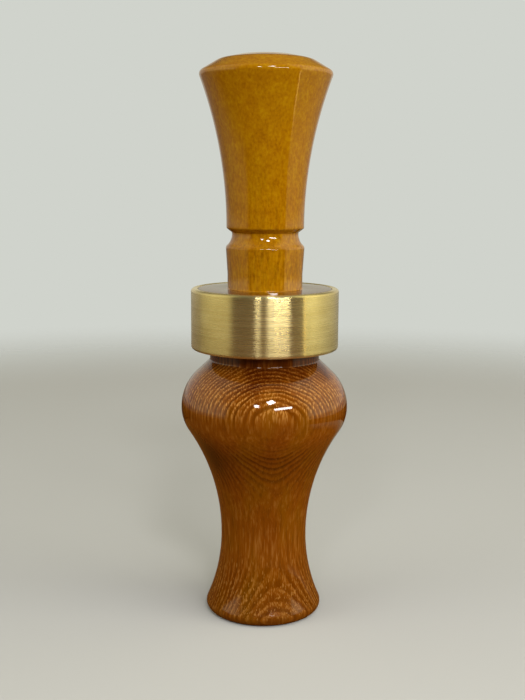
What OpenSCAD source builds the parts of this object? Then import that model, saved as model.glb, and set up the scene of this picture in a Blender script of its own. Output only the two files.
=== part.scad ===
// Turned wooden bird call that stands on its mouth end.
// Bottom to top: barrel with a glued brass band, then the insert that plugs into the barrel.
// Inside the barrel the insert carries a tone board, two seal rings, two reeds and a wedge.
// The origin is the centre of the mouth face, and +Z runs up the bore to the exhaust end.

/* [Barrel] */
// Length of the barrel, from the mouth face to the face that the insert sits on
barrel_length = 78.8; // [74:0.1:84]
// Diameter of the foot round the mouth
foot_d = 27.9; // [25:0.1:31]
// Rounding of the foot's lower edge
foot_round = 1.8; // [1:0.1:2.4]
// Diameter of the waist
waist_d = 20.6; // [19:0.1:22.5]
// Height of the waist above the mouth face
waist_z = 19.2; // [17:0.1:21]
// Largest diameter of the bulge
bulge_d = 39.7; // [37:0.1:43]
// Radius of the bulge's curve below its widest place
bulge_low_r = 9.8; // [8.5:0.1:12]
// Radius of the bulge's curve above its widest place
bulge_top_r = 11.4; // [10:0.1:12.5]
// Slope of the shoulder between the bulge and the neck, in degrees
shoulder_slope = 46.5; // [42:0.5:51]
// Diameter of the neck under the band
neck_d = 26; // [24:0.1:27.5]
// Straight length of the neck
neck_straight = 2.37; // [1.4:0.01:2.6]
// Fillet between the shoulder and the neck
neck_fillet = 0.6; // [0.4:0.1:2]
// Diameter of the bore that takes the insert
bore_d = 15.88; // [15:0.01:17]
// Diameter of the throat, the narrower bore behind the mouth
throat_d = 14.3; // [13.9:0.1:14.6]
// Length of the cone between the two bores
bore_cone = 1.4; // [0.8:0.1:2]
// Rounding of the mouth's inner edge
mouth_round = 1.6; // [1:0.1:2.4]
// Small chamfer of the bore's and the tenon's edges at the insert end
edge_chamfer = 0.25; // [0.15:0.05:0.4]

/* [Band] */
// Outer diameter of the band
band_d = 34.92; // [33.6:0.01:36.5]
// Height of the band
band_height = 14.3; // [12:0.1:16]
// Wall of the band
band_wall = 1.6; // [1.2:0.05:2]
// Rounding of the band's outer edges
band_round = 0.7; // [0.3:0.05:0.9]
// How far the band stands above the barrel's end face
band_proud = 0.25; // [0.1:0.05:0.6]
// Glue gap between the band and the wood
glue_gap = 0.02; // [0.01:0.005:0.05]

/* [Insert] */
// Length of the insert above the barrel's end face
insert_length = 54; // [50:0.1:58]
// Diameter of the insert where it leaves the barrel
shank_d = 17.66; // [17.3:0.01:18.1]
// Straight length of the shank above the barrel
shank_straight = 3.6; // [2.5:0.1:4.5]
// Bead of lacquer at the foot of the shank
foot_bead = 0.25; // [0.15:0.05:0.4]
// Diameter at the lanyard groove's lower lip
low_lip_d = 18.5; // [18.2:0.1:19.4]
// Diameter at the lanyard groove's upper lip
top_lip_d = 18.2; // [17.8:0.1:19]
// Diameter at the bottom of the lanyard groove
groove_d = 15.6; // [15.2:0.1:16.4]
// Height of the groove's bottom above the barrel's end face
groove_z = 13.1; // [12:0.05:13.8]
// Width of the groove's bottom
groove_floor = 0.5; // [0.4:0.1:1.2]
// Length of the slope on the groove's lower side
groove_low_run = 2.8; // [1.8:0.1:3]
// How far the groove's lower slope is hollowed, in degrees at each end
groove_hollow = 24; // [8:1:26]
// Length of the slope on the groove's upper side
groove_top_run = 1; // [0.7:0.1:1.6]
// Rounding of the groove's edges
groove_round = 0.5; // [0.3:0.05:0.7]
// Rounding of the groove's lower lip
lip_round = 0.9; // [0.4:0.05:1]
// Diameter of the flared end, at the sharp corner before its rim is rounded
flare_d = 31.3; // [29:0.1:33]
// Rounding of the flared end's rim
flare_round = 1.8; // [1:0.1:2.2]
// Width of the bevel inside the rim
bevel_width = 4.7; // [4:0.1:5.4]
// Rise of the bevel inside the rim
bevel_rise = 2.8; // [2.4:0.1:3.4]
// Rounding of the bevel's inner edge
bevel_round = 5; // [2:0.5:6]
// How much the end's crown rises inside the bevel
crown_rise = 1.4; // [0.6:0.1:1.6]
// Diameter of the exhaust bore
exhaust_d = 9; // [8:0.1:10]
// Rounding of the exhaust bore's mouth
exhaust_round = 1.8; // [1.2:0.1:2.2]

/* [Tone board] */
// Radial clearance of the collar and the seal rings in the barrel
running_clearance = 0.04; // [0.02:0.01:0.08]
// Length of the round collar in the barrel
collar_length = 21; // [19.5:0.1:23]
// Length of the half-round board below the collar
board_length = 29; // [26:0.5:31]
// How far the board's round back stays from the bore
board_gap = 0.5; // [0.3:0.05:0.8]
// Rounding of the board's small edges
board_edge = 0.4; // [0.2:0.05:0.5]
// Rounding of the board's tip
tip_round = 2.4; // [1.5:0.1:3]
// Distance of the reed's seat in front of the bore's axis
seat_offset = 2.2; // [1.8:0.1:2.5]
// Slope at which the board falls away from the reed, in degrees
board_slope = 1.8; // [1.7:0.1:2.4]
// Radius of the board's curve
board_curve_r = 420; // [350:5:600]
// Diameter of the tone channel
channel_d = 6.4; // [5.8:0.1:6.8]
// Solid length of the board at its tip
channel_stop = 6; // [4.5:0.5:8]
// Diameter of the spigot in the insert
spigot_d = 11; // [10.4:0.1:11.6]
// Length of the spigot in the insert
spigot_length = 15; // [12:0.5:18]
// Clearance between the tip and the narrow end of the bore
tip_clearance = 2.2; // [1.2:0.1:3]

/* [Reeds and wedge] */
// Play of the reeds and the wedge in their slots
slot_play = 0.02; // [0.01:0.005:0.05]
// Width of both reeds
reed_width = 12.7; // [12:0.1:13.2]
// Thickness of a reed
reed_thick = 0.25; // [0.2:0.01:0.3]
// Air gap between the reeds
reed_gap = 0.02; // [0.01:0.005:0.04]
// Length of reed held under the wedge
reed_grip = 10; // [8.5:0.1:11]
// Length that the lower reed stops short of the board's tip
lower_reed_short = 1.2; // [0.5:0.1:2.5]
// Length that the upper reed stops short of the lower one
upper_reed_short = 3.2; // [2:0.1:5]
// Split between the held and the free length of a reed
reed_split = 0.05; // [0.02:0.01:0.1]
// Corner cut at the reeds' free ends
reed_corner = 1.6; // [0.8:0.1:2.2]
// Width of the wedge
wedge_width = 10.8; // [9.5:0.1:11.2]
// Thickness of the wedge
wedge_thick = 2.5; // [2.1:0.05:2.7]
// Length of the wedge that stands out of its slot
wedge_proud = 1.2; // [0.8:0.1:2]
// Chamfer of the wedge's lower edge
wedge_chamfer = 0.6; // [0.3:0.1:0.9]

/* [Seal rings] */
// Cord diameter of a seal ring
ring_cord = 1.5; // [1.3:0.05:1.7]
// Extra width of a ring's groove
ring_side_gap = 0.4; // [0.2:0.05:0.6]
// Distance from the barrel's end face to the upper ring
ring_upper_drop = 3; // [2.4:0.1:3.4]
// Distance between the two rings
ring_pitch = 4.2; // [3.4:0.1:4.6]

/* [Hidden] */

$fn = 96;
over = 1;                 // overrun of every cut
arc_steps = 14;           // points along a long curve
round_steps = 6;          // points round a small edge
hollow_steps = 5;         // points along the groove's lower slope

// Radii
foot_r = foot_d / 2;
waist_r = waist_d / 2;
bulge_r = bulge_d / 2;
neck_r = neck_d / 2;
bore_r = bore_d / 2;
throat_r = throat_d / 2;
band_r = band_d / 2;
shank_r = shank_d / 2;
flare_r = flare_d / 2;
exhaust_r = exhaust_d / 2;
channel_r = channel_d / 2;
spigot_r = spigot_d / 2;

// Barrel heights, worked down from the end face
end_z = barrel_length;
band_top_z = end_z + band_proud;
band_z = band_top_z - band_height;
neck_z = band_z - neck_straight;
tenon_r = band_r - band_wall - glue_gap;

// Centres of the barrel's curves, each tangent to the next
bulge_low_c = bulge_r - bulge_low_r;
bulge_top_c = bulge_r - bulge_top_r;
fillet_c = neck_r + neck_fillet;
shoulder_run = bulge_top_c - fillet_c + (bulge_top_r + neck_fillet) * cos(shoulder_slope);
bulge_z = neck_z - (bulge_top_r + neck_fillet) * sin(shoulder_slope) - shoulder_run / tan(shoulder_slope);
foot_c = foot_r - foot_round;
function hollow_r(side_c, side_z, side_r, rise) =
    (pow(waist_r - side_c, 2) + rise * rise - side_r * side_r) / (2 * (side_c + side_r - waist_r));
foot_hollow_r = hollow_r(foot_c, foot_round, foot_round, waist_z - foot_round);
bulge_hollow_r = hollow_r(bulge_low_c, bulge_z, bulge_low_r, bulge_z - waist_z);
foot_turn = atan2(waist_z - foot_round, waist_r + foot_hollow_r - foot_c);
bulge_turn = atan2(bulge_z - waist_z, waist_r + bulge_hollow_r - bulge_low_c);

// Insert heights
top_z = end_z + insert_length;
crown_z = top_z - crown_rise;
rim_z = crown_z - bevel_rise;
groove_mid_z = end_z + groove_z;
groove_low_z = groove_mid_z - groove_floor / 2 - groove_low_run;
groove_top_z = groove_mid_z + groove_floor / 2 + groove_top_run;
low_lip_r = low_lip_d / 2;
top_lip_r = top_lip_d / 2;

// Tone board heights, worked down from the end face
collar_r = bore_r - running_clearance;
board_r = bore_r - board_gap;
collar_z = end_z - collar_length;
tip_z = collar_z - board_length;
step_z = tip_z - tip_clearance;
spigot_z = end_z + spigot_length;
hinge_z = collar_z - wedge_proud;
reed_stack = 2 * reed_thick + reed_gap;
slot_z = hinge_z + reed_grip;
reed_slot_height = reed_stack + slot_play;
reed_slot_width = reed_width + 2 * slot_play;
wedge_slot_height = reed_slot_height + wedge_thick + slot_play;
wedge_slot_width = wedge_width + 2 * slot_play;

// Reeds
upper_depth = reed_thick + reed_gap;
lower_reed_z = tip_z + lower_reed_short;
upper_reed_z = lower_reed_z + upper_reed_short;

// Seal rings
ring_r = bore_r - running_clearance - ring_cord / 2;
ring_floor_r = ring_r - ring_cord / 2 - running_clearance;
ring_upper_z = end_z - ring_upper_drop;
ring_lower_z = ring_upper_z - ring_pitch;

// Points along an arc, in degrees
function arc(cx, cy, r, from, to, steps) =
    [for (i = [0 : steps]) let (a = from + (to - from) * i / steps) [cx + r * cos(a), cy + r * sin(a)]];

// The fillet of radius r at corner q between p and s, limited by the sides that it joins
function fillet(p, q, s, r, steps) =
    let (u = (p - q) / norm(p - q),
         v = (s - q) / norm(s - q),
         half = acos(max(-1, min(1, u * v))) / 2,
         reach = min(r / tan(half), norm(p - q) / 2, norm(s - q) / 2),
         rr = reach * tan(half),
         c = q + (u + v) / norm(u + v) * rr / sin(half),
         a0 = atan2((q + u * reach - c).y, (q + u * reach - c).x),
         turn = atan2((q + v * reach - c).y, (q + v * reach - c).x) - a0,
         sweep = turn > 180 ? turn - 360 : turn < -180 ? turn + 360 : turn)
    arc(c.x, c.y, rr, a0, a0 + sweep, steps);

// A closed outline from [x, y, rounding] corners
function rounded(corners) =
    let (n = len(corners),
         xy = [for (c = corners) [c.x, c.y]])
    [for (i = [0 : n - 1])
        each corners[i][2] > 0
            ? fillet(xy[(i + n - 1) % n], xy[i], xy[(i + 1) % n], corners[i][2], round_steps)
            : [xy[i]]];

// The same corners, sharp or rounded, with a list of plain points between them
function plain(points) = [for (p = points) [p.x, p.y, 0]];

module barrel() {
    outside = concat(
        plain(arc(foot_c, foot_round, foot_round, -90, foot_turn, round_steps)),
        plain(arc(waist_r + foot_hollow_r, waist_z, foot_hollow_r, 180 + foot_turn, 180, arc_steps)),
        plain(arc(waist_r + bulge_hollow_r, waist_z, bulge_hollow_r, 180, 180 - bulge_turn, arc_steps)),
        plain(arc(bulge_low_c, bulge_z, bulge_low_r, -bulge_turn, 0, arc_steps)),
        plain(arc(bulge_top_c, bulge_z, bulge_top_r, 0, shoulder_slope, arc_steps)),
        plain(arc(fillet_c, neck_z, neck_fillet, 180 + shoulder_slope, 180, round_steps)));
    tenon = [
        [neck_r, band_z, 0],
        [tenon_r, band_z, edge_chamfer],
        [tenon_r, end_z - edge_chamfer, 0],
        [tenon_r - edge_chamfer, end_z, 0]];
    inside = [
        [bore_r + edge_chamfer, end_z, 0],
        [bore_r, end_z - edge_chamfer, 0],
        [bore_r, step_z, 0],
        [throat_r, step_z - bore_cone, 0],
        [throat_r, 0, mouth_round]];
    color("saddlebrown")
    rotate_extrude()
    polygon(rounded(concat(outside, tenon, inside)));
}

module band() {
    inner_r = band_r - band_wall;
    color("goldenrod")
    rotate_extrude()
    polygon(rounded([
        [inner_r, band_z, band_round / 3],
        [band_r, band_z, band_round],
        [band_r, band_top_z, band_round],
        [inner_r, band_top_z, band_round / 3]]));
}

module insert_body() {
    flare_rise = rim_z - groove_top_z;
    flare_run = flare_r - top_lip_r;
    flare_curve_r = (flare_rise * flare_rise + flare_run * flare_run) / (2 * flare_run);
    flare_turn = asin(flare_rise / flare_curve_r);
    socket_r = spigot_r + glue_gap;
    flare_side = arc(top_lip_r + flare_curve_r, groove_top_z, flare_curve_r, 180, 180 - flare_turn, arc_steps);
    low = [low_lip_r, groove_low_z];
    top = [groove_d / 2, groove_mid_z - groove_floor / 2];
    slope = atan2(low.x - top.x, top.y - low.y);
    hollow_curve_r = norm(top - low) / 2 / sin(groove_hollow);
    hollow_c = (low + top) / 2 + [cos(slope), sin(slope)] * hollow_curve_r * cos(groove_hollow);
    hollow = arc(hollow_c.x, hollow_c.y, hollow_curve_r,
        180 + slope + groove_hollow, 180 + slope - groove_hollow, hollow_steps);
    outside = concat(
        plain(arc(shank_r + foot_bead, end_z + foot_bead, foot_bead, 270, 180, round_steps)),
        [[shank_r, end_z + shank_straight, groove_round],
        [low.x, low.y, lip_round]],
        plain([for (i = [1 : hollow_steps - 1]) hollow[i]]),
        [[top.x, top.y, groove_round],
        [groove_d / 2, groove_mid_z + groove_floor / 2, groove_round / 2],
        [top_lip_r, groove_top_z, groove_round / 2]],
        plain([for (i = [1 : arc_steps - 1]) flare_side[i]]),
        [[flare_r, rim_z, flare_round],
        [flare_r - bevel_width, crown_z, bevel_round],
        [exhaust_r, top_z, exhaust_round]]);
    inside = [
        [exhaust_r, spigot_z, 0],
        [socket_r, spigot_z, 0],
        [socket_r, end_z, 0]];
    color("darkgoldenrod")
    rotate_extrude()
    polygon(rounded(concat(outside, inside)));
}

module tone_board() {
    body = [
        [0, tip_z, 0],
        [board_r, tip_z, tip_round],
        [board_r, collar_z, 0],
        [collar_r, collar_z, board_edge / 2],
        [collar_r, end_z, 0],
        [spigot_r, end_z, 0],
        [spigot_r, spigot_z, board_edge],
        [0, spigot_z, 0]];
    color("dimgray")
    difference() {
        rotate_extrude() polygon(rounded(body));
        // tone channel and air bore
        translate([0, 0, tip_z + channel_stop + channel_r])
            cylinder(h = spigot_z - tip_z, r = channel_r);
        translate([0, 0, tip_z + channel_stop + channel_r])
            sphere(r = channel_r);
        // material in front of the reed's seat
        face_cut();
        slot(reed_slot_width, reed_slot_height);
        slot(wedge_slot_width, wedge_slot_height);
        ring_groove(ring_lower_z);
        ring_groove(ring_upper_z);
    }
}

// A slot above the reed's seat, open at the collar's lower face
module slot(width, height) {
    translate([-width / 2, -seat_offset - height, collar_z - over])
        cube([width, height, slot_z - collar_z + over]);
}

// How far the board has fallen away from the reed, s below the hinge line
function board_fall(s) = s * tan(board_slope) + s * s / (2 * board_curve_r);

module face_cut() {
    reach = hinge_z - tip_z + over;
    front = bore_r + over;
    // profile in Y and Z, swept across X
    translate([-front, 0, 0])
    rotate([90, 0, 90])
    linear_extrude(2 * front)
    polygon(concat(
        [[-front, collar_z], [-seat_offset, collar_z]],
        [for (i = [0 : arc_steps])
            let (s = reach * i / arc_steps) [-seat_offset + board_fall(s), hinge_z - s]],
        [[-front, hinge_z - reach]]));
}

module ring_groove(z) {
    width = ring_cord + ring_side_gap;
    translate([0, 0, z - width / 2])
    difference() {
        cylinder(h = width, r = bore_r + over);
        translate([0, 0, -over])
            cylinder(h = width + 2 * over, r = ring_floor_r);
    }
}

// The held part of a reed under the wedge; depth counts from the seat
module reed_root(depth) {
    color("ghostwhite")
    translate([-reed_width / 2, -seat_offset - depth - reed_thick, hinge_z + reed_split / 2])
        cube([reed_width, reed_thick, reed_grip - slot_play - reed_split / 2]);
}

// The free part of a reed, with the corners of its lower end cut
module reed_tongue(low_z, depth) {
    half = reed_width / 2;
    high_z = hinge_z - reed_split / 2;
    color("ghostwhite")
    translate([0, -seat_offset - depth, 0])
    rotate([90, 0, 0])
    linear_extrude(reed_thick)
    polygon([
        [-half, low_z + reed_corner], [-half + reed_corner, low_z],
        [half - reed_corner, low_z], [half, low_z + reed_corner],
        [half, high_z], [-half, high_z]]);
}

module wedge() {
    back = -seat_offset - reed_stack - slot_play;
    front = back - wedge_thick;
    color("burlywood")
    translate([-wedge_width / 2, 0, 0])
    rotate([90, 0, 90])
    linear_extrude(wedge_width)
    polygon([
        [back, hinge_z], [back, slot_z - slot_play], [front, slot_z - slot_play],
        [front, hinge_z + wedge_chamfer], [front + wedge_chamfer, hinge_z]]);
}

module seal_ring(z) {
    color("black")
    rotate_extrude()
    translate([ring_r, z])
    circle(d = ring_cord);
}

barrel();
band();
insert_body();
tone_board();
reed_root(0);  // lower_reed_root
reed_tongue(lower_reed_z, 0);  // lower_reed_tongue
reed_root(upper_depth);  // upper_reed_root
reed_tongue(upper_reed_z, upper_depth);  // upper_reed_tongue
wedge();
seal_ring(ring_lower_z);  // seal_ring_lower
seal_ring(ring_upper_z);  // seal_ring_upper
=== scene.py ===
import bpy
from math import atan2, cos, pi, radians, sin, tan
from mathutils import Matrix, Vector


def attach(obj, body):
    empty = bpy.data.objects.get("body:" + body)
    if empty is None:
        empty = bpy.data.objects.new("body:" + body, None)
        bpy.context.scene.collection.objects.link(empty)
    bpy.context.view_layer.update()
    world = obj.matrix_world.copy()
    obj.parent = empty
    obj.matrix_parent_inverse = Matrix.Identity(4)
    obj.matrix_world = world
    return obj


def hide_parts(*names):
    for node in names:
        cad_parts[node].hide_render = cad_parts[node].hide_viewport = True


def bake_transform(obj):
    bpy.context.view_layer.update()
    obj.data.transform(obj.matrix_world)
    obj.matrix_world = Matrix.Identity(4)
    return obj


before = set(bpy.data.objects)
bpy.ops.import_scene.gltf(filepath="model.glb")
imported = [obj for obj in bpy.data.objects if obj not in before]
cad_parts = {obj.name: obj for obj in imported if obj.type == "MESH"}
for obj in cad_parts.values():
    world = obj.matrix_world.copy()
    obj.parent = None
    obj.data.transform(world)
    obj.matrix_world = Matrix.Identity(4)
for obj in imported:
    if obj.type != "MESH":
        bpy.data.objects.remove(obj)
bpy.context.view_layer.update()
bpy.ops.object.select_all(action="DESELECT")
bpy.context.scene.view_settings.view_transform = "Standard"
mm = 0.001  # sizes below are in millimetres
print("frame loaded")

# camera

photoCamera = {
    "lens": 54.0,
    "sensor": 36,
    "nearest": 5,
    "place": (-0.49, -247.4, 104.6),
    "pitch": 9.28,  # degrees below level
    "roll": 0.31,
}

bpy.ops.object.camera_add(location=[c * mm for c in photoCamera["place"]])
camera = bpy.context.object
camera.name = "photoCamera"
camera.data.lens = photoCamera["lens"]
camera.data.sensor_width = photoCamera["sensor"]
camera.data.clip_start = photoCamera["nearest"] * mm
tipped = Matrix.Rotation(radians(90 - photoCamera["pitch"]), 3, "X")
rolled = Matrix.Rotation(radians(photoCamera["roll"]), 3, "Z")
camera.rotation_euler = (tipped @ rolled).to_euler()
bpy.context.scene.camera = camera
print("camera set")

# nodes


class Wire:  # a socket; arithmetic on it adds Math nodes
    def __init__(self, finish, socket):
        self.finish = finish
        self.socket = socket

    def math(self, operation, *others):
        inputs = dict(enumerate((self,) + others))
        return self.finish.add("ShaderNodeMath", {"operation": operation}, inputs)

    def __add__(self, other):
        return self.math("ADD", other)

    def __mul__(self, other):
        return self.math("MULTIPLY", other)

    def __sub__(self, other):
        return self.math("SUBTRACT", other)

    def __rsub__(self, other):
        return self.finish.add("ShaderNodeMath", {"operation": "SUBTRACT"}, {0: other, 1: self})

    def __truediv__(self, other):
        return self.math("DIVIDE", other)

    __radd__ = __add__
    __rmul__ = __mul__


class Finish:  # a material and its nodes
    def __init__(self, name, tree=None):
        if tree is None:
            self.material = bpy.data.materials.new(name)
            self.material.use_nodes = True
            tree = self.material.node_tree
        self.tree = tree

    def add(self, kind, settings={}, inputs={}, output=0):
        node = self.tree.nodes.new(kind)
        for key, value in settings.items():
            if key == "stops":
                ramp = node.color_ramp
                while len(ramp.elements) < len(value):
                    ramp.elements.new(1.0)
                for element, (place, level) in zip(ramp.elements, value):
                    element.position = place
                    element.color = level if isinstance(level, tuple) else (level, level, level, 1)
            else:
                setattr(node, key, value)
        for socket, value in inputs.items():
            self.plug(node.inputs[socket], value)
        return Wire(self, node.outputs[output])

    def plug(self, socket, value):
        if isinstance(value, Wire):
            self.tree.links.new(value.socket, socket)
        else:
            socket.default_value = value

    def ramp(self, factor, stops):
        return self.add("ShaderNodeValToRGB", {"stops": stops}, {"Fac": factor})

    def byHeight(self, height, top, levels):
        # levels are (height, level) pairs, from 0 to top
        return self.ramp(height / top, [(place / top, level) for place, level in levels])

    def fade(self, value, start, full, low=0.0, high=1.0, smooth=False):
        # low up to start, high from full on
        settings = {"interpolation_type": "SMOOTHSTEP" if smooth else "LINEAR"}
        inputs = {"Value": value, 1: start, 2: full, 3: low, 4: high}
        return self.add("ShaderNodeMapRange", settings, inputs)

    def mix(self, factor, first, second, mode="MIX"):
        settings = {"data_type": "RGBA", "blend_type": mode}
        return self.add("ShaderNodeMix", settings, {0: factor, 6: first, 7: second}, 2)

    def multiply(self, colour, other, amount=1.0):
        return self.mix(amount, colour, other, "MULTIPLY")

    def split(self, vector):
        return [self.add("ShaderNodeSeparateXYZ", {}, {0: vector}, axis) for axis in range(3)]

    def stretch(self, vector, scales):
        return self.add("ShaderNodeVectorMath", {"operation": "MULTIPLY"}, {0: vector, 1: scales})

    def distance(self, vector, centre):
        return self.add("ShaderNodeVectorMath", {"operation": "DISTANCE"}, {0: vector, 1: centre}, "Value")

    def bearing(self, vector):
        # degrees right of the front, seen from the bore's axis
        x, y = self.split(vector)[:2]
        return x.math("ARCTAN2", y * -1.0) * (180 / pi)

    def noise(self, vector, scales, detail=2.0, roughness=0.5):
        # scales are how many waves a millimetre holds along x, y and z
        vector = self.stretch(vector, scales)
        inputs = {"Vector": vector, "Scale": 1.0, "Detail": detail, "Roughness": roughness}
        return self.add("ShaderNodeTexNoise", {}, inputs)

    def cells(self, vector, scales):
        # the distance to the middle of the nearest cell
        inputs = {"Vector": self.stretch(vector, scales), "Scale": 1.0}
        return self.add("ShaderNodeTexVoronoi", {}, inputs, "Distance")

    def millimetres(self):
        # Object coordinates in millimetres
        place = self.add("ShaderNodeTexCoord", output="Object")
        return self.stretch(place, (1000, 1000, 1000))

    def rays(self, kind):
        return self.add("ShaderNodeLightPath", output="Is " + kind + " Ray")

    def surface(self, linked, fixed):
        shader = self.tree.nodes["Principled BSDF"]
        for name, value in list(linked.items()) + list(fixed.items()):
            self.plug(shader.inputs[name], value)
        return self

    def bump(self, height, distance):
        return self.add("ShaderNodeBump", {}, {"Height": height, "Distance": distance * mm})


def shade(red, green, blue):  # a screen colour, 0 to 255
    def linear(c):
        c /= 255
        return c / 12.92 if c <= 0.04045 else ((c + 0.055) / 1.055) ** 2.4

    return (linear(red), linear(green), linear(blue), 1)


# finishes

lacquer = {"roughness": 0.035, "index": 1.47, "waves": (0.25, 0.25, 0.16), "waveHeight": 0.03}


def lacquered(wood, grain, colour, duller):
    # the lacquer fills the pores and lies in slight waves
    waves = wood.noise(grain, lacquer["waves"], detail=1)
    return wood.surface(
        {
            "Base Color": colour,
            "Roughness": lacquer["roughness"] + duller,
            "Normal": wood.bump(waves, lacquer["waveHeight"]),
        },
        {"IOR": lacquer["index"]},
    )


barrelWood = {
    # how far each growth ring lies in front of the bore's axis, listed from the front of the call
    "rings": [
        0, 1.2, 2.4, 3.5, 4.5, 5.5, 6.6, 7.7, 8.5, 9.3, 10.3, 11.2, 12.1, 13.0, 13.8, 14.6,
        15.3, 16.0, 16.65, 17.25, 17.85, 18.4, 19.0, 19.6,
    ],
    "ringsReach": 20,
    "ringsBehind": 1.25,  # their distance behind the axis
    "wander": 1.4,  # how far they stray, slowly and then finely
    "feather": 0.3,
    "leanLow": 0.25,  # how far they turn to the right at the foot, and less so for each millimetre up
    "leanLess": 0.0024,
    "brown": shade(119, 62, 3),
    "redBrown": shade(115, 57, 3),
    "olive": shade(119, 67, 2),
    "lateWood": shade(60, 26, 1),
    "pore": shade(188, 132, 60),
    "top": 80,  # no height below is above this
    # how strongly the pale and the dark part of the rings and the loose fibres show at each height
    "paleAt": [(0, 0.52), (8, 0.55), (13, 0.25), (17, 0.05), (46, 0.05), (49.5, 0.4), (52, 1.0)],
    "darkAt": [
        (0, 0.6), (10, 0.5), (16, 0.1), (31, 0.1), (36, 0.7), (42, 0.78), (45, 0.22), (49, 0.1), (53, 0.8),
    ],
    "dashAt": [(12, 0.24), (18.4, 0.28), (27.2, 0.24), (33.6, 0.08), (44, 0.10), (50.4, 0.40)],
    # how bright the wood is at each height, partly its own tone and partly painted light and shade
    "toneAndLightAt": [
        (0, 0.78), (12, 0.90), (18, 0.94), (34, 0.94), (41, 0.93),
        (45.5, 1.26), (49, 0.92), (54, 1.04), (60, 1.14),
    ],
    "leftShade": (-13, -10, 40),  # painted shade: a dark patch on the left below the bulge
    "leftShadeCore": 2,
    "leftShadeReach": 9,
    "leftShadeLevel": 0.75,
    "leftShadeWander": 6,
    "heartAndBandShade": shade(168, 146, 130),  # painted shade under the band, with darker heartwood, dims the wood from the bulge's top to the neck
    "heartShadeFrom": 56.5,
    "heartShadeFull": 62.5,
    "heartShadeWander": 12,
    "footDullness": 0.08,  # the lacquer is duller low down, where the call is handled and stands
    "glossFrom": 13,
    "poreDullness": 0.02,
}


def countRings(wood, grain):
    # how many growth rings lie between a point and the bore's axis, less than 0 behind it
    look = barrelWood
    x, y, z = wood.split(grain)
    wander = (wood.noise(grain, (0.11, 0.11, 0.035), detail=1.5) - 0.5) * look["wander"]
    feather = (wood.noise(grain, (0.8, 0.8, 0.10)) - 0.5) * look["feather"]
    depth = x * (look["leanLow"] - z * look["leanLess"]) - y + wander + feather
    reach, count = look["ringsReach"], len(look["rings"])
    stops = [(place / reach, number / count) for number, place in enumerate(look["rings"])]
    return wood.ramp(depth / reach, stops) * count + depth.math("MINIMUM", 0) / look["ringsBehind"]


def makeBarrelWood():
    look = barrelWood
    wood = Finish("barrelWoodLacquered")
    grain = wood.millimetres()
    z = wood.split(grain)[2]
    rings = countRings(wood, grain)
    cell = rings.math("FRACT")
    ringKind = wood.add("ShaderNodeTexWhiteNoise", {"noise_dimensions": "1D"}, {"W": rings.math("FLOOR")})
    early = wood.ramp(cell, [(0.0, 1.0), (0.20, 0.9), (0.42, 0.0), (0.88, 0.0), (1.0, 1.0)])
    late = wood.ramp(cell, [(0.22, 0.0), (0.58, 0.8), (0.78, 1.0), (0.97, 0.0)])
    paleAt, darkAt, dashAt = (
        wood.byHeight(z, look["top"], look[name]) for name in ("paleAt", "darkAt", "dashAt")
    )
    # a ramp's levels stay below 1, so these are halved in it
    toneAndLightAt = wood.byHeight(z, look["top"], [(height, level / 2) for height, level in look["toneAndLightAt"]]) * 2
    patch = wood.noise(grain, (0.16, 0.16, 0.07))
    colour = wood.ramp(patch, [(0.32, look["olive"]), (0.50, look["brown"]), (0.68, look["redBrown"])])
    colour = wood.mix(late * darkAt * (0.40 + 0.45 * ringKind), colour, look["lateWood"])
    # pores run along the bore, and show as dots or dashes where the surface cuts across them
    beads = wood.ramp(wood.cells(grain, (3.0, 3.0, 0.42)), [(0.30, 1.0), (0.56, 0.0)])
    strays = wood.ramp(wood.noise(grain, (3.1, 3.1, 0.22), detail=1), [(0.60, 0.0), (0.70, 1.0)])
    # painted light: the pale pores show where the surface faces up, as if lit from above
    facing = wood.split(wood.add("ShaderNodeTexCoord", output="Normal"))[2]
    poresLitFromAbove = wood.ramp(facing * 0.5 + 0.5, [(0.20, 0.16), (0.44, 0.26), (0.52, 0.50), (0.62, 1.0)])
    pale = early * paleAt * (0.08 + 0.92 * beads) * (0.65 + 0.35 * ringKind)
    pale = pale.math("MAXIMUM", strays * 0.5) * poresLitFromAbove
    # away from the pale rings the fibres show more
    fibre = wood.noise(grain, (1.4, 1.4, 0.14), detail=3, roughness=0.6)
    plain = 1 - paleAt * 0.65
    pale = pale.math("MAXIMUM", wood.ramp(fibre, [(0.54, 0.0), (0.70, 1.0)]) * plain * dashAt)
    colour = wood.mix(pale, colour, look["pore"])
    colour = wood.multiply(colour, wood.ramp(fibre, [(0.32, 0.76), (0.50, 1.0)]), plain)
    # brightness by height: partly the wood's own tone, partly painted light and shade
    colour = wood.multiply(colour, toneAndLightAt)
    # painted shade: the left below the bulge is darkened towards the late wood's colour
    fromLeftShade = wood.distance(grain, look["leftShade"]) + (patch - 0.5) * look["leftShadeWander"]
    leftShade = wood.fade(fromLeftShade, look["leftShadeCore"], look["leftShadeReach"], look["leftShadeLevel"], 0.0)
    colour = wood.mix(leftShade, colour, look["lateWood"])
    # painted shade cast by the band, together with darker heartwood, near the neck
    height = z + (patch - 0.5) * look["heartShadeWander"]
    heartShade = wood.fade(height, look["heartShadeFrom"], look["heartShadeFull"], smooth=True)
    colour = wood.multiply(colour, look["heartAndBandShade"], heartShade)
    dull = wood.fade(z, 0.0, look["glossFrom"], look["footDullness"], 0.0)
    return lacquered(wood, grain, colour, dull + pale * look["poreDullness"])


insertWood = {
    "rings": 1.7,  # distance between growth rings
    "pithDistance": 34,  # behind the bore's axis
    "wander": 3.0,
    "gold": shade(166, 120, 4),
    "amber": shade(153, 103, 1),
    "rust": shade(138, 87, 1),
    "streak": shade(176, 124, 16),
    "warmer": (1.0, 0.955, 0.9, 1),  # multiplies the colour in wide patches
    "fibreDark": (0.68, 0.63, 0.62, 1),  # and these multiply it along the fibres low down
    "fibreLight": (1.0, 0.95, 0.97, 1),
    "lowTo": 86,
    "lowGone": 112,
    "fibreDullness": 0.02,
}


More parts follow.
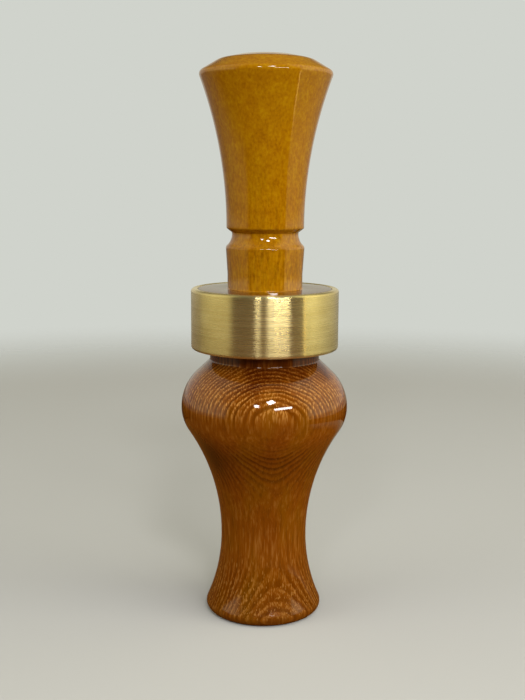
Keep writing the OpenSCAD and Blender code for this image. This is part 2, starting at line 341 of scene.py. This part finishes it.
def makeInsertWood():
    look = insertWood
    wood = Finish("insertWoodLacquered")
    grain = wood.millimetres()
    wander = wood.noise(grain, (0.12, 0.12, 0.05)) * look["wander"]
    fromPith = wood.distance(wood.stretch(grain, (1, 1, 0)), (0, look["pithDistance"], 0))
    cell = ((fromPith + wander) / look["rings"]).math("FRACT")
    late = wood.ramp(cell, [(0.30, 0.0), (0.80, 1.0), (1.0, 0.0)])
    # soft figure across the grain, and short fibres along it that show best low down
    mottle = wood.noise(grain, (0.5, 0.5, 0.4), detail=3, roughness=0.6)
    grit = wood.noise(grain, (1.8, 1.8, 1.3))
    fleck = wood.ramp(wood.noise(grain, (2.8, 2.8, 0.30)), [(0.50, 0.0), (0.66, 1.0)])
    fibre = wood.noise(grain, (1.9, 1.9, 0.22), detail=3, roughness=0.65)
    low = wood.fade(wood.split(grain)[2], look["lowTo"], look["lowGone"], 1.0, 0.0)
    figure = mottle * 0.4 + grit * 0.6
    colour = wood.ramp(figure, [(0.34, look["rust"]), (0.50, look["amber"]), (0.66, look["gold"])])
    tone = wood.noise(grain, (0.10, 0.10, 0.05), detail=1)
    colour = wood.multiply(colour, wood.ramp(tone, [(0.38, 1.0), (0.60, look["warmer"])]))
    colour = wood.mix(late * 0.16, colour, look["rust"])
    colour = wood.mix(fleck * (0.08 + 0.30 * low), colour, look["streak"])
    darker = wood.ramp(fibre, [(0.30, look["fibreDark"]), (0.56, look["fibreLight"])])
    colour = wood.multiply(colour, darker, low)
    return lacquered(wood, grain, colour, fibre * look["fibreDullness"])


bandBrass = {
    "colour": shade(240, 220, 156),
    "worn": shade(221, 199, 133),
    "lineHeight": 0.30,
    "lineLength": 30.0,
    "lineDepth": 0.0018,
    "roughness": 0.20,
    "rougher": 0.14,
    "metallic": 0.92,
}


def makeBandBrass():
    look = bandBrass
    brass = Finish("bandBrassSatin")
    place = brass.millimetres()
    run, rise = 1 / look["lineLength"], 1 / look["lineHeight"]
    lines = brass.noise(place, (run, run, rise), detail=3, roughness=0.65)
    fine = brass.noise(place, (run * 2, run * 2, rise * 2.6), roughness=0.6)
    tarnish = brass.noise(place, (0.16, 0.16, 0.3), detail=3)
    clean = brass.ramp(lines * 0.6 + tarnish * 0.4, [(0.40, 0.0), (0.62, 1.0)])
    return brass.surface(
        {
            "Base Color": brass.mix(clean, look["worn"], look["colour"]),
            "Roughness": look["roughness"] + lines * look["rougher"],
            "Normal": brass.bump(lines * 0.5 + fine * 0.5, look["lineDepth"]),
        },
        {"Metallic": look["metallic"], "Anisotropic": 1.0, "Anisotropic Rotation": 0.25},
    )


boardAcrylic = {
    "colour": shade(26, 26, 29),
    "scuffed": shade(46, 46, 50),
    "roughness": 0.12,
    "rougher": 0.16,
    "sandingDepth": 0.003,
    "index": 1.49,
}


def makeBoardAcrylic():
    look = boardAcrylic
    acrylic = Finish("boardAcrylicPolished")
    place = acrylic.millimetres()
    swirl = acrylic.ramp(acrylic.noise(place, (0.25, 0.25, 0.12), detail=3), [(0.42, 0.0), (0.66, 1.0)])
    sanding = acrylic.noise(place, (7.0, 7.0, 0.35))
    return acrylic.surface(
        {
            "Base Color": acrylic.mix(swirl, look["colour"], look["scuffed"]),
            "Roughness": look["roughness"] + sanding * look["rougher"],
            "Normal": acrylic.bump(sanding, look["sandingDepth"]),
        },
        {"IOR": look["index"]},
    )


reedFilm = {
    "colour": shade(226, 229, 224),
    "cloudy": shade(206, 211, 208),
    "roughness": 0.24,
    "rougher": 0.18,
    "frostDepth": 0.002,
    "index": 1.57,
    "seeThrough": 0.45,
}


def makeReedFilm():
    look = reedFilm
    film = Finish("reedFilmFrosted")
    place = film.millimetres()
    cloud = film.noise(place, (0.3, 0.3, 0.12), detail=3)
    frost = film.noise(place, (9.0, 9.0, 9.0))
    return film.surface(
        {
            "Base Color": film.mix(cloud, look["cloudy"], look["colour"]),
            "Roughness": look["roughness"] + frost * look["rougher"],
            "Normal": film.bump(frost, look["frostDepth"]),
        },
        {"IOR": look["index"], "Transmission Weight": look["seeThrough"]},
    )


wedgeCork = {
    "colour": shade(196, 150, 98),
    "dark": shade(112, 70, 36),
    "light": shade(216, 176, 126),
    "roughness": 0.72,
    "rougher": 0.18,
    "pitDepth": 0.09,
    "sheen": 0.3,
}


def makeWedgeCork():
    look = wedgeCork
    cork = Finish("wedgeCork")
    place = cork.millimetres()
    grain = cork.ramp(cork.cells(place, (1.5, 1.5, 1.5)), [(0.15, 0.0), (0.7, 1.0)])
    grit = cork.noise(place, (3.5, 3.5, 3.5), detail=4, roughness=0.65)
    pits = cork.ramp(grit, [(0.58, 0.0), (0.68, 1.0)])
    colour = cork.mix(grain, look["light"], look["colour"])
    return cork.surface(
        {
            "Base Color": cork.mix(pits * 0.85, colour, look["dark"]),
            "Roughness": look["roughness"] + pits * look["rougher"],
            "Normal": cork.bump(grit * 0.5 - pits, look["pitDepth"]),
        },
        {"Specular IOR Level": look["sheen"]},
    )


ringRubber = {
    "colour": shade(32, 32, 33),
    "bloom": shade(52, 52, 53),
    "roughness": 0.48,
    "rougher": 0.2,
    "dustDepth": 0.01,
    "sheen": 0.4,
}


def makeRingRubber():
    look = ringRubber
    rubber = Finish("ringRubberMatt")
    place = rubber.millimetres()
    dust = rubber.noise(place, (2.2, 2.2, 2.2), detail=4)
    bloom = rubber.ramp(dust, [(0.45, 0.0), (0.7, 1.0)])
    return rubber.surface(
        {
            "Base Color": rubber.mix(bloom, look["colour"], look["bloom"]),
            "Roughness": look["roughness"] + dust * look["rougher"],
            "Normal": rubber.bump(dust, look["dustDepth"]),
        },
        {"Specular IOR Level": look["sheen"]},
    )


barrelFinish = makeBarrelWood()
insertFinish = makeInsertWood()
brassFinish = makeBandBrass()
acrylicFinish = makeBoardAcrylic()
filmFinish = makeReedFilm()
corkFinish = makeWedgeCork()
rubberFinish = makeRingRubber()
print("finishes made")

# turning


def arcPoints(centre, radius, start, end, gap=0.4):
    # along an arc in the turning plane, in degrees from straight out
    count = max(4, round(abs(radians(end - start)) * radius / gap))
    turns = [radians(start + (end - start) * i / count) for i in range(count + 1)]
    return [(centre[0] + radius * cos(t), centre[1] + radius * sin(t), 0) for t in turns]


def easeCorner(before, corner, after, radius):
    count = 8
    p, q, s = Vector(before[:2]), Vector(corner[:2]), Vector(after[:2])
    u, v = (p - q).normalized(), (s - q).normalized()
    half = u.angle(v) / 2
    reach = min(radius / tan(half), (p - q).length / 2, (s - q).length / 2)
    centre = q + (u + v).normalized() * reach / cos(half)
    first, last = q + u * reach - centre, q + v * reach - centre
    start = atan2(first.y, first.x)
    sweep = (atan2(last.y, last.x) - start + pi) % (2 * pi) - pi
    turns = [start + sweep * i / count for i in range(count + 1)]
    return [(centre.x + first.length * cos(t), centre.y + first.length * sin(t)) for t in turns]


def drawOutline(corners):
    # corners are (radius, height, rounding)
    outline = []
    for i, corner in enumerate(corners):
        if corner[2] > 0:
            outline += easeCorner(corners[i - 1], corner, corners[(i + 1) % len(corners)], corner[2])
        else:
            outline.append(corner[:2])
    return outline


def turnPiece(name, outline, steps=160):
    # one point is drawn along the outline, and the line is spun round the bore
    bpy.ops.object.select_all(action="DESELECT")
    bpy.ops.mesh.primitive_plane_add(size=mm, location=(outline[0][0] * mm, 0, outline[0][1] * mm))
    piece = bpy.context.object
    piece.name = name
    bpy.ops.object.transform_apply(location=True)
    bpy.ops.object.mode_set(mode="EDIT")
    bpy.ops.mesh.select_mode(type="VERT")
    bpy.ops.mesh.select_all(action="SELECT")
    bpy.ops.mesh.merge(type="CENTER")
    for here, there in zip(outline, outline[1:] + outline[:1]):
        step = ((there[0] - here[0]) * mm, 0, (there[1] - here[1]) * mm)
        bpy.ops.mesh.extrude_region_move(TRANSFORM_OT_translate={"value": step})
    bpy.ops.mesh.select_all(action="SELECT")
    bpy.ops.mesh.remove_doubles(threshold=1e-6)
    bpy.ops.mesh.spin(steps=steps, angle=2 * pi, center=(0, 0, 0), axis=(0, 0, 1))
    bpy.ops.mesh.select_all(action="SELECT")
    bpy.ops.mesh.remove_doubles(threshold=1e-6)
    bpy.ops.mesh.normals_make_consistent(inside=False)
    bpy.ops.object.mode_set(mode="OBJECT")
    bpy.ops.object.shade_smooth_by_angle(angle=radians(34))
    return piece


def dress(piece, finish, body, slot, *nodes):
    piece.data.materials.clear()
    piece.data.materials.append(finish.material)
    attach(piece, body)
    if nodes:
        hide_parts(*nodes)


# barrel

barrel = {
    "length": 79.0,  # flush with the band, as in the photo
    "foot": 13.95,
    "footRound": 1.8,
    "waist": 10.3,
    "waistHeight": 19.2,
    "bulge": 19.85,
    "bulgeHeight": 50.724,
    "bulgeLowCurve": 9.8,
    "bulgeTopCurve": 11.4,
    "shoulderSlope": 46.5,
    "neck": 13.0,
    "neckHeight": 62.38,
    "neckFillet": 0.6,
    "neckStep": 0.05,  # distance between its points
    "bandHeight": 64.75,
    "tenon": 15.84,
    "bore": 7.94,
    "throat": 7.15,
    "step": 26.6,
    "cone": 1.4,
    "mouthRound": 1.6,
    "edge": 0.25,
}


def hollowRadius(sideCentre, sideRadius, rise):
    # the hollow curve that starts level at the waist and meets a side curve
    out = barrel["waist"] - sideCentre
    return (out ** 2 + rise ** 2 - sideRadius ** 2) / (2 * (sideCentre + sideRadius - barrel["waist"]))


def makeBarrel():
    b = barrel
    waist = (b["waist"], b["waistHeight"])
    footCentre = (b["foot"] - b["footRound"], b["footRound"])
    lowCentre = (b["bulge"] - b["bulgeLowCurve"], b["bulgeHeight"])
    topCentre = (b["bulge"] - b["bulgeTopCurve"], b["bulgeHeight"])
    neckCentre = (b["neck"] + b["neckFillet"], b["neckHeight"])
    footRise, bulgeRise = waist[1] - footCentre[1], lowCentre[1] - waist[1]
    footHollow = hollowRadius(footCentre[0], b["footRound"], footRise)
    bulgeHollow = hollowRadius(lowCentre[0], b["bulgeLowCurve"], bulgeRise)
    footTurn = atan2(footRise, waist[0] + footHollow - footCentre[0]) * 180 / pi
    bulgeTurn = atan2(bulgeRise, waist[0] + bulgeHollow - lowCentre[0]) * 180 / pi
    outside = (
        arcPoints(footCentre, b["footRound"], -90, footTurn)
        + arcPoints((waist[0] + footHollow, waist[1]), footHollow, 180 + footTurn, 180)[1:]
        + arcPoints((waist[0] + bulgeHollow, waist[1]), bulgeHollow, 180, 180 - bulgeTurn)[1:]
        + arcPoints(lowCentre, b["bulgeLowCurve"], -bulgeTurn, 0)[1:]
        + arcPoints(topCentre, b["bulgeTopCurve"], 0, b["shoulderSlope"])[1:]
        + arcPoints(neckCentre, b["neckFillet"], 180 + b["shoulderSlope"], 180, b["neckStep"])
    )
    tenon = [
        (b["neck"], b["bandHeight"], 0),
        (b["tenon"], b["bandHeight"], b["edge"]),
        (b["tenon"], b["length"], b["edge"]),
    ]
    inside = [
        (b["bore"], b["length"], b["edge"]),
        (b["bore"], b["step"], 0),
        (b["throat"], b["step"] - b["cone"], 0),
        (b["throat"], 0, b["mouthRound"]),
    ]
    piece = turnPiece("barrelTurned", drawOutline(outside + tenon + inside))
    dress(piece, barrelFinish, "barrel", "barrel_wood", "barrel")


makeBarrel()
print("barrel turned")

# band

band = {
    "outer": 17.46,
    "inner": 15.86,
    "low": 64.75,
    "top": 79.05,
    "edge": 0.7,
    "innerEdge": 0.7 / 3,
    "steps": 192,
}


def makeBand():
    b = band
    outline = drawOutline(
        [
            (b["inner"], b["low"], b["innerEdge"]),
            (b["outer"], b["low"], b["edge"]),
            (b["outer"], b["top"], b["edge"]),
            (b["inner"], b["top"], b["innerEdge"]),
        ]
    )
    dress(turnPiece("bandTurned", outline, b["steps"]), brassFinish, "barrel", "band_brass", "band")


makeBand()
print("band turned")

# insert

insert = {
    "seat": 79.0,
    "shank": 8.83,
    "footBead": 0.25,
    "shankTop": 82.4,
    "lowLip": (9.25, 88.85),
    "lipRound": 0.9,
    "slopeHollow": 24,  # the groove's lower side turns by twice this, degrees
    "slopeStep": 0.2,  # distance between its points
    "grooveLow": (7.8, 91.65),
    "grooveTop": (7.8, 92.15),
    "topLip": (9.1, 93.15),
    "grooveRound": 0.5,
    "rim": (15.65, 128.6),
    "rimRound": 1.8,
    "bevel": (10.95, 131.4),
    "bevelRound": 5,
    "crown": 132.8,
    "exhaust": 4.5,
    "exhaustRound": 1.8,
    "socket": 5.52,
    "socketTop": 93.8,
}


def flarePoints():
    # the hollow side that rises from the groove's upper lip to the rim
    s = insert
    rise, run = s["rim"][1] - s["topLip"][1], s["rim"][0] - s["topLip"][0]
    curve = (rise * rise + run * run) / (2 * run)
    turn = atan2(rise, curve - run) * 180 / pi
    points = arcPoints((s["topLip"][0] + curve, s["topLip"][1]), curve, 180, 180 - turn)
    return [point for point in points[2:] if point[1] < s["rim"][1] - s["rimRound"]]


def slopePoints():
    # the groove's hollow lower side
    s = insert
    low, top = Vector(s["lowLip"]), Vector(s["grooveLow"])
    slope = atan2(low.x - top.x, top.y - low.y)
    curve = (top - low).length / 2 / sin(radians(s["slopeHollow"]))
    outwards = Vector((cos(slope), sin(slope)))
    centre = (low + top) / 2 + outwards * curve * cos(radians(s["slopeHollow"]))
    across = 180 + slope * 180 / pi
    points = arcPoints(centre, curve, across + s["slopeHollow"], across - s["slopeHollow"], s["slopeStep"])
    return [point for point in points if low.y + s["lipRound"] / 2 < point[1] < top.y - s["slopeStep"]]


def makeInsert():
    s = insert
    bead = s["footBead"]
    corners = [
        *arcPoints((s["shank"] + bead, s["seat"] + bead), bead, 270, 180),
        (s["shank"], s["shankTop"], s["grooveRound"]),
        (*s["lowLip"], s["lipRound"]),
        *slopePoints(),
        (*s["grooveLow"], s["grooveRound"]),
        (*s["grooveTop"], s["grooveRound"] / 2),
        (*s["topLip"], s["grooveRound"]),
        *flarePoints(),
        (*s["rim"], s["rimRound"]),
        (*s["bevel"], s["bevelRound"]),
        (s["exhaust"], s["crown"], s["exhaustRound"]),
        (s["exhaust"], s["socketTop"], 0),
        (s["socket"], s["socketTop"], 0),
        (s["socket"], s["seat"], 0),
    ]
    dress(turnPiece("insertTurned", drawOutline(corners)), insertFinish, "insert", "insert_wood", "insert_body")


makeInsert()
print("insert turned")

# seal rings

sealRing = {
    "centre": 7.15,
    "radius": 0.75,
    "points": 36,
    "steps": 96,
    "heights": {"seal_ring_lower": 71.6, "seal_ring_upper": 75.8},
}


def makeSealRings():
    r = sealRing
    turns = [2 * pi * i / r["points"] for i in range(r["points"])]
    for node, height in r["heights"].items():
        outline = [(r["centre"] + r["radius"] * cos(t), height + r["radius"] * sin(t)) for t in turns]
        name = "sealRing" + node.split("_")[-1].title()
        dress(turnPiece(name, outline, r["steps"]), rubberFinish, "seal_rings", "ring_rubber", node)


makeSealRings()
print("seal rings made")

# reeds

reed = {
    "width": 12.7,
    "thickness": 0.25,
    "top": 66.58,
    "cornerCut": 1.6,
    "firstCrease": 1.7,  # the sheet is cut across at these lines, counted from the tip
    "creaseGap": 1.0,
    "hinge": 56.6,
    "bendLength": 14.0,
    "sheets": {"lower": (30.0, -2.2), "upper": (33.2, -2.47)},  # tip height, and the side towards the board
}


def makeReeds():
    r = reed
    for side, (tip, back) in r["sheets"].items():
        middle = (0, back * mm, (r["top"] + tip) / 2 * mm)
        bpy.ops.object.select_all(action="DESELECT")
        bpy.ops.mesh.primitive_plane_add(size=mm, rotation=(pi / 2, 0, 0), location=middle)
        piece = bpy.context.object
        piece.name = side + "ReedSheet"
        piece.scale = (r["width"], r["top"] - tip, 1)
        bpy.ops.object.transform_apply(location=True, rotation=True, scale=True)
        bpy.ops.object.mode_set(mode="EDIT")
        bpy.ops.mesh.select_mode(type="VERT")
        bpy.ops.mesh.select_all(action="DESELECT")
        bpy.ops.object.mode_set(mode="OBJECT")
        for corner in piece.data.vertices:
            corner.select = corner.co.z < (tip + 1) * mm
        bpy.ops.object.mode_set(mode="EDIT")
        bpy.ops.mesh.bevel(offset=r["cornerCut"] * mm, affect="VERTICES", segments=5)
        height = tip + r["firstCrease"]
        while height < r["top"]:
            bpy.ops.mesh.select_all(action="SELECT")
            bpy.ops.mesh.bisect(plane_co=(0, 0, height * mm), plane_no=(0, 0, 1))
            height += r["creaseGap"]
        bpy.ops.object.mode_set(mode="OBJECT")
        thicken = piece.modifiers.new("thicken", "SOLIDIFY")
        thicken.thickness = r["thickness"] * mm
        thicken.offset = 1.0
        bpy.ops.object.modifier_apply(modifier="thicken")
        piece.data.materials.append(filmFinish.material)
        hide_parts(side + "_reed_root", side + "_reed_tongue")
        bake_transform(piece)


makeReeds()
print("reeds made")

# wedge

wedge = {"width": 10.8, "back": -2.74, "front": -5.24, "low": 56.6, "top": 66.58, "edge": 0.35}


def makeWedge():
    w = wedge
    middle = (0, (w["back"] + w["front"]) / 2 * mm, (w["low"] + w["top"]) / 2 * mm)
    bpy.ops.object.select_all(action="DESELECT")
    bpy.ops.mesh.primitive_cube_add(size=mm, location=middle)
    piece = bpy.context.object
    piece.name = "wedgeCut"
    piece.scale = (w["width"], w["back"] - w["front"], w["top"] - w["low"])
    bpy.ops.object.transform_apply(location=True, rotation=True, scale=True)
    bpy.ops.object.mode_set(mode="EDIT")
    bpy.ops.mesh.select_all(action="SELECT")
    bpy.ops.mesh.bevel(offset=w["edge"] * mm, segments=3, affect="EDGES")
    bpy.ops.object.mode_set(mode="OBJECT")
    bpy.ops.object.shade_smooth_by_angle(angle=radians(50))
    dress(piece, corkFinish, "wedge", "wedge_cork", "wedge")


makeWedge()
print("wedge made")

# tone board

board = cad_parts["tone_board"]
board.data.materials.clear()
board.data.materials.append(acrylicFinish.material)
print("tone board dressed")

# floor

studio = {
    "floor": shade(186, 185, 181),
    "backdrop": shade(208, 211, 204),
    "solidTo": 280,  # the floor fades into the backdrop from here
    "goneAt": 520,
    "under": shade(112, 70, 22),  # what the call reflects below itself
    "underRight": shade(146, 140, 120),  # the same on the right, where the room is bright
    "rightFrom": 60,  # degrees right of the front
    "rightFull": 66,
    "rightNear": 90,  # and only beyond this distance from the call
    "rightWide": 40,  # over which it comes in
}

# a glowing line on the floor, painted light that only reflections see, in the middle of the change to the right
streak = {
    "colour": shade(255, 208, 112),
    "level": 7.0,
    "halfWidth": 1.6,  # degrees
    "start": 180,
    "full": 215,
    "fade": 260,
    "gone": 400,
}


def makeFloor():
    s = studio
    pale = Finish("paleFloor")
    spot = pale.millimetres()
    away = pale.distance(spot, (0, 0, 0))
    bearing = pale.bearing(spot)
    right = pale.fade(bearing, s["rightFrom"], s["rightFull"])
    right = right * pale.fade(away, s["rightNear"], s["rightNear"] + s["rightWide"])
    under = pale.mix(right, s["under"], s["underRight"])
    aside = (bearing - (s["rightFrom"] + s["rightFull"]) / 2).math("ABSOLUTE")
    line = pale.fade(aside, streak["halfWidth"], 0.0)
    line = line * pale.fade(away, streak["start"], streak["full"])
    line = line * pale.fade(away, streak["gone"], streak["fade"])
    line = pale.mix(line * pale.rays("Glossy"), (0.0, 0.0, 0.0, 1), streak["colour"])
    pale.surface(
        {"Base Color": pale.mix(pale.rays("Camera"), under, s["floor"]), "Emission Color": line},
        {"Emission Strength": streak["level"], "Roughness": 0.9, "Specular IOR Level": 0.1},
    )
    gone = pale.fade(away, s["solidTo"], s["goneAt"], smooth=True)
    solid = Wire(pale, pale.tree.nodes["Principled BSDF"].outputs[0])
    clear = pale.add("ShaderNodeBsdfTransparent")
    faded = pale.add("ShaderNodeMixShader", {}, {0: gone, 1: solid, 2: clear})
    pale.plug(pale.tree.nodes["Material Output"].inputs["Surface"], faded)

    bpy.ops.object.select_all(action="DESELECT")
    radius, justBelow = s["goneAt"] * mm, (0, 0, -0.05 * mm)
    bpy.ops.mesh.primitive_circle_add(vertices=96, radius=radius, fill_type="NGON", location=justBelow)
    floor = bpy.context.object
    floor.name = "paleFloor"
    floor.data.materials.append(pale.material)


makeFloor()
print("floor laid")

# a low dark screen round the call that only its reflections see
screen = {"radius": 150, "height": 28, "colour": shade(40, 24, 10)}


def makeScreen():
    dark = Finish("darkScreen")
    dark.surface({"Base Color": screen["colour"]}, {"Roughness": 0.9, "Specular IOR Level": 0.0})
    radius, height = screen["radius"] * mm, screen["height"] * mm
    bpy.ops.object.select_all(action="DESELECT")
    bpy.ops.mesh.primitive_cylinder_add(
        vertices=96, radius=radius, depth=height, end_fill_type="NOTHING", location=(0, 0, height / 2)
    )
    fence = bpy.context.object
    fence.name = "darkScreen"
    fence.data.materials.append(dark.material)
    fence.visible_camera = fence.visible_diffuse = fence.visible_shadow = fence.visible_transmission = False


makeScreen()
print("screen set up")

# room

room = {
    # how bright the room is round the horizon and how blue, in degrees right of the front
    "low": [
        (-180, 0.40, 0.88),
        (-156, 0.39, 1.0),
        (-140, 0.35, 1.05),
        (-119, 0.32, 0.95),
        (-112, 0.46, 0.8),
        (-90, 0.60, 0.75),
        (-59, 0.61, 0.75),
        (-48, 0.02, 0.8),
        (-34, 0.025, 0.8),
        (-26, 0.045, 0.7),
        (-16, 0.02, 0.7),
        (40, 0.015, 0.7),
        (60, 0.02, 0.6),
        (63, 0.88, 0.7),
        (80, 1.0, 0.75),
        (110, 0.60, 0.85),
        (150, 0.36, 1.05),
        (180, 0.40, 0.88),
    ],
    # the same higher up, where the edges are soft
    "high": [
        (-180, 0.40, 1.0),
        (-120, 0.40, 0.9),
        (-85, 0.52, 0.75),
        (-42, 0.04, 0.8),
        (45, 0.04, 0.8),
        (84, 0.90, 0.75),
        (120, 0.50, 0.9),
        (180, 0.40, 1.0),
    ],
    "tint": (1.55, 1.51, 1.36, 1),
    "overhead": (0.11, 0.11, 0.115, 1),
    # heights are from -1 straight down to 1 straight up
    "lowTo": 0.15,
    "highFrom": 0.50,
    "overheadFrom": 0.80,
    "downFrom": -0.08,
    "downTo": -0.03,
    "downLevel": 0.37,
    # behind the call and half way up the room is darker
    "roofFrom": 0.22,
    "roofFull": 0.40,
    "roofLevel": 0.15,
}


def makeRoom():
    r = room
    world = bpy.data.worlds.new("room")
    bpy.context.scene.world = world
    world.use_nodes = True
    sky = Finish("room", world.node_tree)
    view = sky.add("ShaderNodeTexCoord", output="Generated")
    y, z = sky.split(view)[1:]
    around = sky.bearing(view) / 360 + 0.5
    low, high = (
        sky.ramp(
            around,
            [((turn + 180) / 360, (level, level, level * blue, 1)) for turn, level, blue in r[side]],
        )
        for side in ("low", "high")
    )
    sides = sky.mix(sky.fade(z, r["lowTo"], r["highFrom"], smooth=True), low, high)
    down = sky.fade(z, r["downFrom"], r["downTo"], r["downLevel"], 1.0)
    roof = sky.fade(y * z, r["roofFrom"], r["roofFull"], 1.0, r["roofLevel"], smooth=True)
    sides = sky.multiply(sky.multiply(sides, down * roof), r["tint"])
    level = sky.mix(sky.fade(z, r["overheadFrom"], 1.0, smooth=True), sides, r["overhead"])
    seen = sky.rays("Camera").math("MAXIMUM", sky.rays("Transmission"))
    sky.plug(sky.tree.nodes["Background"].inputs["Color"], sky.mix(seen, level, studio["backdrop"]))


makeRoom()
print("room made")

# lamps

# each is placed by its bearing from the call: degrees right of the front and up, width and height in degrees
lamps = {
    "windowBar": {
        "turn": 26.5, "up": 19.6, "wide": 23.0, "high": 4.4, "tilt": 4,
        "distance": 440, "level": 31, "soft": False,
    },
    "windowPeak": {
        "turn": 10.5, "up": 36.0, "wide": 10.0, "high": 8.0, "tilt": 30,
        "distance": 1200, "level": 39, "soft": False,
    },
    "windowSmall": {
        "turn": -11.0, "up": 27.0, "wide": 6.0, "high": 6.0, "tilt": 10,
        "distance": 1200, "level": 32, "soft": False,
    },
    # reflections don't see the soft ones
    "ceilingFill": {
        "turn": 10.0, "up": 66.0, "wide": 50.0, "high": 40.0, "tilt": 0,
        "distance": 1200, "level": 1.3, "soft": True,
    },
    "leftFill": {
        "turn": -65.0, "up": 20.0, "wide": 40.0, "high": 40.0, "tilt": 0,
        "distance": 1200, "level": 1.8, "soft": True,
    },
    "rightFill": {
        "turn": 65.0, "up": 20.0, "wide": 40.0, "high": 40.0, "tilt": 0,
        "distance": 1200, "level": 3.1, "soft": True,
    },
}
lampAim = 55  # the height that they all point at


def hangLamps():
    aim = Vector((0, 0, lampAim * mm))
    for name, lamp in lamps.items():
        turn, up, distance = radians(lamp["turn"]), radians(lamp["up"]), lamp["distance"] * mm
        away = Vector((sin(turn) * cos(up), -cos(turn) * cos(up), sin(up)))
        wide, high = (2 * distance * tan(radians(lamp[side]) / 2) for side in ("wide", "high"))
        facing = (-away).to_track_quat("-Z", "Y").to_matrix()
        bpy.ops.object.light_add(type="AREA", location=aim + away * distance)
        light = bpy.context.object
        light.name = name
        light.rotation_euler = (facing @ Matrix.Rotation(radians(lamp["tilt"]), 3, "Z")).to_euler()
        light.data.shape = "RECTANGLE"
        light.data.size = wide
        light.data.size_y = high
        light.data.energy = lamp["level"] * pi * wide * high
        light.visible_glossy = not lamp["soft"]


hangLamps()
print("lamps hung")
